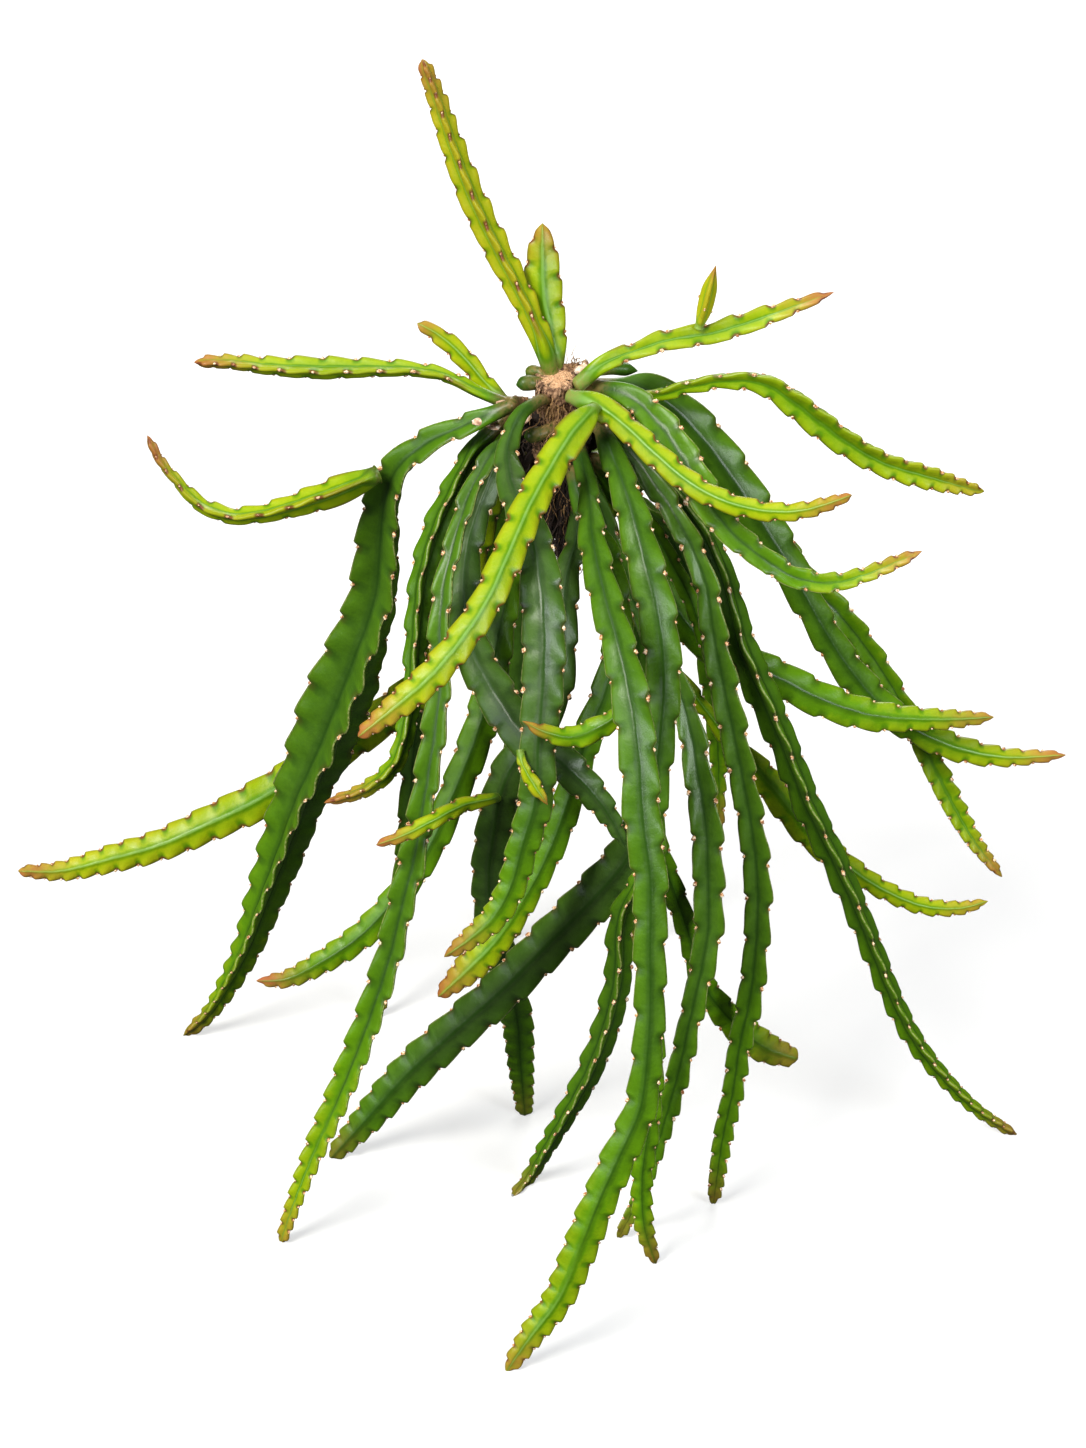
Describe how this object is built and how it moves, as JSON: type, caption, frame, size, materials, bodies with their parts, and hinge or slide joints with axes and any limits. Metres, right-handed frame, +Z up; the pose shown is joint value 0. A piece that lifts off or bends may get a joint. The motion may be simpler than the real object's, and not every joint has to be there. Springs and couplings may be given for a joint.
{
  "type": "rhipsalis cutting",
  "caption": "Cut clump of a flat-stemmed rhipsalis: long crenate stems droop from one woody cut crown, and the clump stands on the tips of the longest.",
  "frame": {"origin": "on the surface that the stem tips stand on, under the middle of the bounding box", "axes": "+Z up; the side that the picture shows faces -Y; +X is to the viewer's right"},
  "size_m": [0.5619, 0.4059, 0.5951],
  "materials": {
    "crown_wood": "rough bark with a dry, tan cut face and matted brown roots",
    "young_stem": "waxy skin, lime green, with a brown or pink tip",
    "leaf_stem": "waxy skin, middle green, soft gloss",
    "mature_stem": "waxy skin, dark blue-green, soft gloss and a pale bloom"
  },
  "bodies": {
    "root": {"woody_crown": "crown_wood", "stem_tall": "young_stem", "stem_upright": "young_stem", "stem_short_left": "young_stem", "stem_long_left": "leaf_stem", "stem_left_leg": "mature_stem", "stem_curled_left": "young_stem", "stem_low_left": "leaf_stem", "stem_front_yellow": "young_stem", "stem_right_yellow": "young_stem", "stem_right_upper": "leaf_stem", "stem_right_arch": "leaf_stem", "stem_right_middle": "leaf_stem", "stem_right_broad": "mature_stem", "stem_right_back": "mature_stem", "stem_right_cross": "leaf_stem", "stem_right_low": "young_stem", "stem_right_leg": "mature_stem", "stem_right_dark_leg": "mature_stem", "stem_middle_dark_leg": "mature_stem", "stem_front_right": "leaf_stem", "stem_front_leg": "leaf_stem", "stem_centre_leg": "mature_stem", "stem_behind_centre": "leaf_stem", "stem_back_short_leg": "mature_stem", "stem_diagonal_dark": "mature_stem", "stem_behind_front_leg": "mature_stem", "stem_cross_dark": "mature_stem", "stem_left_inner_leg": "leaf_stem", "stem_left_outer": "leaf_stem", "stem_left_back_low": "leaf_stem", "stem_pale_inner": "leaf_stem", "twig_right_upper": "young_stem", "twig_left": "young_stem", "twig_curled": "young_stem", "twig_tiny": "young_stem", "stem_right_short": "leaf_stem", "cut_stub_left": "leaf_stem", "cut_stub_back": "leaf_stem", "cut_stub_right": "leaf_stem", "cut_stub_low": "mature_stem", "back_leg_middle": "mature_stem", "back_leg_right": "mature_stem", "back_leg_left": "mature_stem", "back_arch": "young_stem", "back_short_left": "leaf_stem", "back_right_low": "mature_stem", "back_yellow": "young_stem"}
  },
  "joints": []
}
